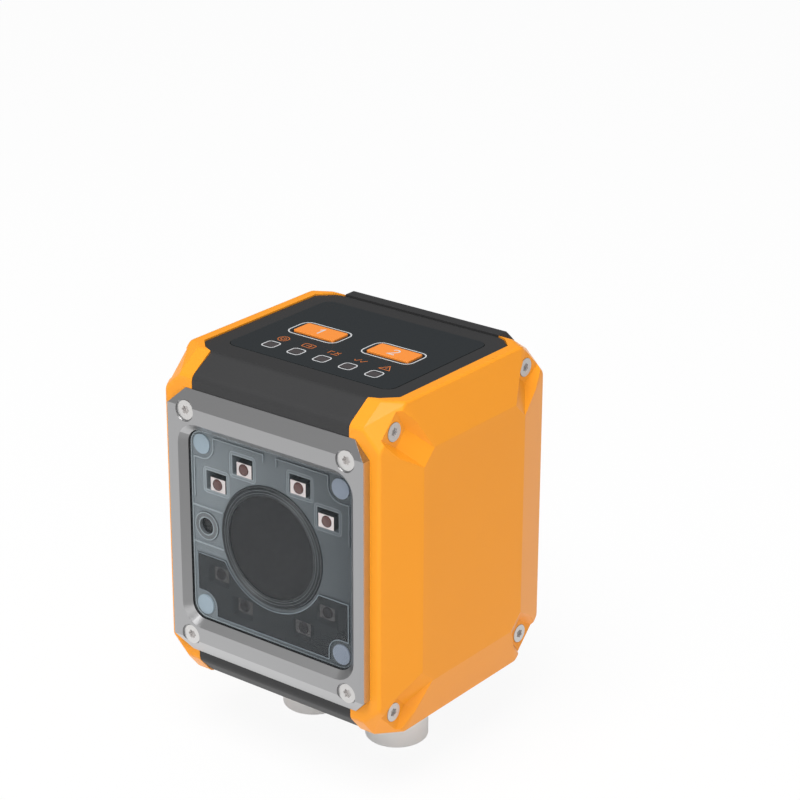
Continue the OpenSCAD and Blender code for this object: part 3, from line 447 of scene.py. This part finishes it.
tube_plastic = surface("tube_ring", (0.135, 0.150, 0.160), roughness=0.4)
grain(tube_plastic, scale=1800, strength=0.1, depth=0.01)
aimer = merged_copy("aimer_tube", "aiming_tube")
dress(aimer, tube_plastic, painted_highlight_plastic, node="aimer_tube")
tube = bmesh.new()
tube.from_mesh(aimer.data)
# Painted highlight: a pale rim inset round the front face of the tube.
tube_front = [face for face in tube.faces
              if face.normal.y < -SQUARE_ON and face.calc_center_median().y < ridge_foot]
pale_rim(aimer, tube_front, TUBE_RIM, tube)

# Inner parts. Moulded black plastic, a soft grey pad that carries the heat of
# the processor, nickel-plated shells, nuts and spacers, and gold-plated pins.
black = surface("black_moulding", (0.018, 0.018, 0.019), roughness=0.45)
grain(black, scale=1200, strength=0.15, depth=0.02, spread=0.05)
pad = surface("soft_pad", (0.36, 0.37, 0.39), roughness=0.8)
grain(pad, scale=500, strength=0.3, depth=0.05)
nickel = surface("nickel_plate", (0.55, 0.55, 0.54), roughness=0.28, metallic=1.0)
grain(nickel, scale=1100, strength=0.06, depth=0.01, spread=0.05)
gold = surface("gold_plate", (0.72, 0.50, 0.18), roughness=0.25, metallic=1.0)
grain(gold, scale=1100, strength=0.05, depth=0.01)
for node in ("lens_mount", "image_sensor", "processor", "connector_inserts"):
    coat(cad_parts[node].data, black)
for node in ("board_spacers", "rear_spacers", "connector_shells", "connector_nuts",
             "key_switches"):
    coat(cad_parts[node].data, nickel)
coat(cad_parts["thermal_pad"].data, pad)
coat(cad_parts["connector_pins"].data, gold)

# Key panel. A satin polyester film with two openings for the keys and five
# for the indicators, glued to the housing. The keys are orange caps that move
# with their joints, and the indicators have dim grey windows.
FILM_RADIUS = 0.05 * MM
KEY_RADIUS = 0.12 * MM

film = surface("panel_film", (0.018, 0.022, 0.025), roughness=0.38, specular=0.35)
grain(film, scale=2200, strength=0.12, depth=0.015, spread=0.04)
key_plastic = surface("key_cap", (0.88, 0.27, 0.035), roughness=0.4)
grain(key_plastic, scale=2000, strength=0.1, depth=0.015, spread=0.04)
lamp_window = surface("lamp_window", (0.060, 0.052, 0.054), roughness=0.4)
grain(lamp_window, scale=900, strength=0.05, depth=0.01)

panel = merged_copy("key_panel", "key_panel_film")
soften(panel, FILM_RADIUS, angle=40)
dress(panel, film, node="key_panel", slot="panel_film")
for node in ("trigger_key", "tune_key"):
    key = merged_copy(node, node + "_cap")
    soften(key, KEY_RADIUS, angle=40)
    dress(key, key_plastic, body=node, node=node, slot="key_orange")
coat(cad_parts["indicator_lenses"].data, lamp_window)

# Prints on the key panel. Thin screen prints in white and orange: an outline
# round each key and each indicator, a small sign behind each indicator, and
# the numbers 1 and 2 on the two keys. Lengths in this section are in mm.
INK = 0.02
JOIN = 0.001
SHARPEST = 0.4
KEY_OUTLINE, KEY_CORNER, KEY_SHIFT = 0.36, 2.3, -0.25
KEY_MARGIN_X, KEY_MARGIN_Y = 1.1, 0.9
LAMP_OUTLINE, LAMP_CORNER = 0.32, 1.0
LAMP_FRAME_X, LAMP_FRAME_Y = 3.8, 3.9
LAMP_WIDE = 3.6
LAMP_PLACES = (-2, -1, 0, 1, 2)
SIGN_BEHIND_LAMP = 4.9
SIGN_LINE, SIGN_THIN, SIGN_THICK = 0.22, 0.2, 0.24
DIGIT_LINE = 0.42

panel_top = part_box("key_panel")[1].z / MM
key_low, key_high = [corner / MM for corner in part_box("tune_key")]
key_x, key_y = (key_low.x + key_high.x) / 2, (key_low.y + key_high.y) / 2
key_size = key_high - key_low
lamps_low, lamps_high = [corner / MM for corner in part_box("indicator_lenses")]
lamp_y = (lamps_low.y + lamps_high.y) / 2
lamp_step = (lamps_high.x - lamps_low.x - LAMP_WIDE) / (len(LAMP_PLACES) - 1)

white_ink = surface("white_ink", (0.60, 0.61, 0.62), roughness=0.5)
grain(white_ink, scale=2500, strength=0.1, depth=0.01)
orange_ink = surface("orange_ink", (0.62, 0.17, 0.03), roughness=0.5)
grain(orange_ink, scale=2500, strength=0.1, depth=0.01)


def mitred(points, closed, width, height):
    """The two ends of the line's cross edge at each point, mitred at its corners."""
    rungs = []
    for index, point in enumerate(points):
        here = Vector(point)
        run_in = here - Vector(points[index - 1])
        run_out = Vector(points[(index + 1) % len(points)]) - here
        if index == 0 and not closed:
            run_in = run_out
        if index == len(points) - 1 and not closed:
            run_out = run_in
        run_in = run_in.normalized()
        along = (run_in + run_out.normalized()).normalized()
        across = Vector((-along.y, along.x))
        reach = width / 2 / max(SHARPEST, across.dot(Vector((-run_in.y, run_in.x))))
        rungs.append([Vector((*(here + across * side * reach), height)) * MM
                      for side in (1, -1)])
    return rungs


def stroke(shape, points, closed, width, height):
    """A flat printed line: its cross edge is extruded from point to point."""
    rungs = mitred(points, closed, width, height)
    start = [shape.verts.new(place) for place in rungs[0]]
    corners = start
    edge = shape.edges.new(start)
    for rung in rungs[1:] + (rungs[:1] if closed else []):
        before = corners[0].co.copy()
        made = bmesh.ops.extrude_edge_only(shape, edges=[edge])["geom"]
        corners = [item for item in made if isinstance(item, bmesh.types.BMVert)]
        corners.sort(key=lambda corner: (corner.co - before).length)
        for corner, place in zip(corners, rung):
            corner.co = place
        edge = shape.edges.get(corners)
    if closed:
        bmesh.ops.remove_doubles(shape, verts=start + corners, dist=JOIN * MM)


def printed(name, strokes, height, ink, body="sensor"):
    """One printed piece made of strokes, each with its points, whether it closes and its
    width. The flat lines are raised together to the thickness of the ink."""
    shape = bmesh.new()
    for points, closed, width in strokes:
        stroke(shape, points, closed, width, height)
    raised = bmesh.ops.extrude_face_region(shape, geom=shape.faces[:],
                                           use_keep_orig=True)["geom"]
    tops = [item for item in raised if isinstance(item, bmesh.types.BMVert)]
    bmesh.ops.translate(shape, verts=tops, vec=(0, 0, INK * MM))
    bmesh.ops.recalc_face_normals(shape, faces=shape.faces)
    mesh = bpy.data.meshes.new(name)
    shape.to_mesh(mesh)
    shape.free()
    piece = bpy.data.objects.new(name, mesh)
    bpy.context.scene.collection.objects.link(piece)
    dress(piece, ink, body=body)


def moved(points, x, y):
    """The same points, shifted by x and y."""
    return [(point[0] + x, point[1] + y) for point in points]


def arc(radius, start=0, end=360, steps=20):
    """Points of an arc round the origin, with its angles in degrees."""
    turns = [radians(start + (end - start) * step / steps) for step in range(steps + 1)]
    return [(radius * cos(turn), radius * sin(turn)) for turn in turns]


def rounded_box(wide, deep, radius):
    """Points of a rectangle with round corners, centred on the origin."""
    points = []
    for quarter_turn, (sx, sy) in enumerate(((1, 1), (-1, 1), (-1, -1), (1, -1))):
        bend = arc(radius, 90 * quarter_turn, 90 * quarter_turn + 90, steps=4)
        points += moved(bend, sx * (wide / 2 - radius), sy * (deep / 2 - radius))
    return points


key_frame = rounded_box(key_size.x + KEY_MARGIN_X, key_size.y + KEY_MARGIN_Y, KEY_CORNER)
lamp_frame = rounded_box(LAMP_FRAME_X, LAMP_FRAME_Y, LAMP_CORNER)
outlines = [(moved(key_frame, side * key_x + KEY_SHIFT, key_y), True, KEY_OUTLINE)
            for side in (1, -1)]
outlines += [(moved(lamp_frame, place * lamp_step, lamp_y), True, LAMP_OUTLINE)
             for place in LAMP_PLACES]
printed("panel_outlines", outlines, panel_top, white_ink)

power = ((arc(1.5)[:-1], True, SIGN_LINE),
         (arc(0.75, 125, 415, 14), False, SIGN_THIN),
         ([(0, 0.1), (0, 1.0)], False, SIGN_THIN))
arrow_in_box = ((rounded_box(3.4, 2.2, 0.5), True, SIGN_LINE),
                ([(-0.9, 0), (0.9, 0)], False, SIGN_THIN),
                ([(0.3, -0.6), (0.9, 0), (0.3, 0.6)], False, SIGN_THIN))
step_and_cross = (([(-1.6, -0.8), (-1.6, 0.8), (-0.4, 0.8)], False, SIGN_LINE),
                  ([(-0.5, -0.9), (1.6, -0.9)], False, SIGN_LINE),
                  ([(0.2, -0.3), (1.5, 1.0)], False, SIGN_LINE),
                  ([(0.2, 1.0), (1.5, -0.3)], False, SIGN_LINE))
two_ticks = (([(-1.7, 0), (-1.1, -0.7), (-0.1, 0.8)], False, SIGN_LINE),
             ([(0.2, 0), (0.7, -0.7), (1.7, 0.8)], False, SIGN_LINE))
triangle = (([(-1.6, -1.1), (1.6, -1.1), (0, 1.4)], True, SIGN_THICK),
            ([(0, -0.5), (0, 0.5)], False, SIGN_LINE))
signs = []
for place, sign in zip(LAMP_PLACES, (power, arrow_in_box, step_and_cross, two_ticks, triangle)):
    for points, closed, width in sign:
        placed = moved(points, place * lamp_step, lamp_y + SIGN_BEHIND_LAMP)
        signs.append((placed, closed, width))
printed("panel_signs", signs, panel_top, orange_ink)

digit_one = [(-0.8, 0.8), (0.1, 1.6), (0.1, -1.6)]
digit_two = moved(arc(0.9, 165, -35, 10), 0, 0.7) + [(-0.95, -1.6), (1.05, -1.6)]
for name, digit, side, body in (("number_one", digit_one, -1, "trigger_key"),
                                ("number_two", digit_two, 1, "tune_key")):
    placed = moved(digit, side * key_x, key_y)
    printed(name, [(placed, False, DIGIT_LINE)], key_high.z, white_ink, body=body)

# Connector caps. Light grey soft plastic, pushed over the round connectors to
# keep them clean until a cable is plugged in.
CAP_RADIUS = 0.1 * MM

cap_plastic = surface("cap_moulding", (0.93, 0.915, 0.90), roughness=0.5)
grain(cap_plastic, scale=1500, strength=0.08, depth=0.02, spread=0.04)
for node in ("left_cap", "right_cap"):
    cap = merged_copy(node, node + "_moulding")
    soften(cap, CAP_RADIUS, angle=40)
    dress(cap, cap_plastic, node=node, slot="cap_grey")

# Studio. A white floor that keeps the sensor's shadow and shows plain white in
# what mirrors it, a little brighter on the left and close to the sensor.
FLOOR_SIZE = 6.0
FLOOR_GLOW = 0.92
LEFT_X, RIGHT_X, RIGHT_GLOW = -50 * MM, 130 * MM, 0.6
AHEAD_Y, CLOSE_Y, CLOSE_GLOW = -200 * MM, 0.0, 1.2


def combined(tree, operation, first, second):
    """A Math node of two outputs, or of an output and a number."""
    node = node_of(tree, "ShaderNodeMath", operation=operation)
    tree.links.new(first, node.inputs[0])
    if isinstance(second, bpy.types.NodeSocket):
        tree.links.new(second, node.inputs[1])
    else:
        node.inputs[1].default_value = second
    return node.outputs[0]


floor_white = surface("white_floor", (0.88, 0.88, 0.88), roughness=0.9, specular=0)
floor_tree = floor_white.node_tree
rays = floor_tree.nodes.new("ShaderNodeLightPath").outputs
seen = combined(floor_tree, "MAXIMUM", rays["Is Camera Ray"], rays["Is Transmission Ray"])
seen_glow = combined(floor_tree, "MULTIPLY", seen, FLOOR_GLOW)
glow_share = combined(floor_tree, "MAXIMUM", seen_glow, rays["Is Glossy Ray"])
floor_place = floor_tree.nodes.new("ShaderNodeTexCoord")
floor_axes = node_of(floor_tree, "ShaderNodeSeparateXYZ", Vector=floor_place.outputs["Object"])
sideways = node_of(floor_tree, "ShaderNodeMapRange", Value=floor_axes.outputs["X"],
                   From_Min=LEFT_X, From_Max=RIGHT_X, To_Min=1.0, To_Max=RIGHT_GLOW)
inwards = node_of(floor_tree, "ShaderNodeMapRange", Value=floor_axes.outputs["Y"],
                  From_Min=AHEAD_Y, From_Max=CLOSE_Y, To_Min=1.0, To_Max=CLOSE_GLOW)
mirrored = combined(floor_tree, "MULTIPLY", sideways.outputs["Result"],
                    inwards.outputs["Result"])
strength = node_of(floor_tree, "ShaderNodeMix", data_type="FLOAT", A=1.0,
                   Factor=rays["Is Glossy Ray"], B=mirrored)
glow = node_of(floor_tree, "ShaderNodeEmission", Color=(1, 1, 1, 1),
               Strength=strength.outputs["Result"])
floor_mix = node_of(floor_tree, "ShaderNodeMixShader", Fac=glow_share)
floor_tree.links.new(floor_tree.nodes["Principled BSDF"].outputs["BSDF"], floor_mix.inputs[1])
floor_tree.links.new(glow.outputs["Emission"], floor_mix.inputs[2])
floor_tree.links.new(floor_mix.outputs["Shader"],
                     floor_tree.nodes["Material Output"].inputs["Surface"])

floor_shape = bmesh.new()
bmesh.ops.create_grid(floor_shape, x_segments=1, y_segments=1, size=FLOOR_SIZE / 2)
floor_mesh = bpy.data.meshes.new("floor")
floor_shape.to_mesh(floor_mesh)
floor_shape.free()
floor_mesh.materials.append(floor_white)
floor = bpy.data.objects.new("floor", floor_mesh)
bpy.context.scene.collection.objects.link(floor)

# Room and lamps. An even room, dimmer behind the sensor in what mirrors it, a
# large soft light in front, above and slightly to the right, and a weak low
# one that reaches under the sensor.
ROOM = 0.48
ROOM_FRONT, ROOM_BACK = 0.46, 0.15
DIM_FROM, DIM_TO = -0.4, 0.6
LAMP_AIM = Vector((0, 0, 60 * MM))
LAMP_DISTANCE = 1.4
LAMP_SIZE = 0.9
LAMPS = (("key_light", Vector((0.10, -0.40, 0.91)), 0.85),
         ("low_fill", Vector((0.55, -0.80, 0.22)), 0.20))

world = bpy.data.worlds.new("room")
bpy.context.scene.world = world
world.use_nodes = True
room_tree = world.node_tree
room_rays = room_tree.nodes.new("ShaderNodeLightPath")
room_place = room_tree.nodes.new("ShaderNodeTexCoord")
room_axes = node_of(room_tree, "ShaderNodeSeparateXYZ", Vector=room_place.outputs["Generated"])
room_sweep = node_of(room_tree, "ShaderNodeMapRange", Value=room_axes.outputs["Y"],
                     From_Min=DIM_FROM, From_Max=DIM_TO, To_Min=ROOM_FRONT, To_Max=ROOM_BACK)
room_level = node_of(room_tree, "ShaderNodeMix", data_type="FLOAT", A=ROOM,
                     Factor=room_rays.outputs["Is Glossy Ray"], B=room_sweep.outputs["Result"])
background = room_tree.nodes["Background"]
background.inputs["Color"].default_value = (1, 1, 1, 1)
room_tree.links.new(room_level.outputs["Result"], background.inputs["Strength"])

for name, direction, level in LAMPS:
    light = bpy.data.lights.new(name, "AREA")
    light.shape = "SQUARE"
    light.size = LAMP_SIZE
    light.energy = level * pi ** 2 * LAMP_DISTANCE ** 2
    lamp = bpy.data.objects.new(name, light)
    bpy.context.scene.collection.objects.link(lamp)
    lamp.location = LAMP_AIM + direction.normalized() * LAMP_DISTANCE
    lamp.rotation_euler = (-direction).to_track_quat("-Z", "Y").to_euler()

# Camera at the photograph's angle, worked out from the straight edges of the
# object: bearing, height and roll in degrees, distance in metres, and lens.
BEARING = 37.72
HEIGHT = 21.976
ROLL = 0.217
DISTANCE = 0.615391
AIM = Vector((14.80, 0.2, 94.2)) * MM
LENS = 111.85
SENSOR = 36

bearing = radians(BEARING)
height = radians(HEIGHT)
roll = radians(ROLL)
back = Vector((sin(bearing) * cos(height), -cos(bearing) * cos(height), sin(height)))
right = (-back).cross(Vector((0, 0, 1))).normalized()
upward = right.cross(-back)
camera_right = cos(roll) * right + sin(roll) * upward
camera_up = cos(roll) * upward - sin(roll) * right
basis = Matrix((camera_right, camera_up, back)).transposed().to_4x4()
camera_data = bpy.data.cameras.new("camera")
camera_data.lens = LENS
camera_data.sensor_width = SENSOR
camera = bpy.data.objects.new("camera", camera_data)
bpy.context.scene.collection.objects.link(camera)
camera.matrix_world = Matrix.Translation(AIM + back * DISTANCE) @ basis
bpy.context.scene.camera = camera
bpy.context.scene.view_settings.view_transform = "Standard"
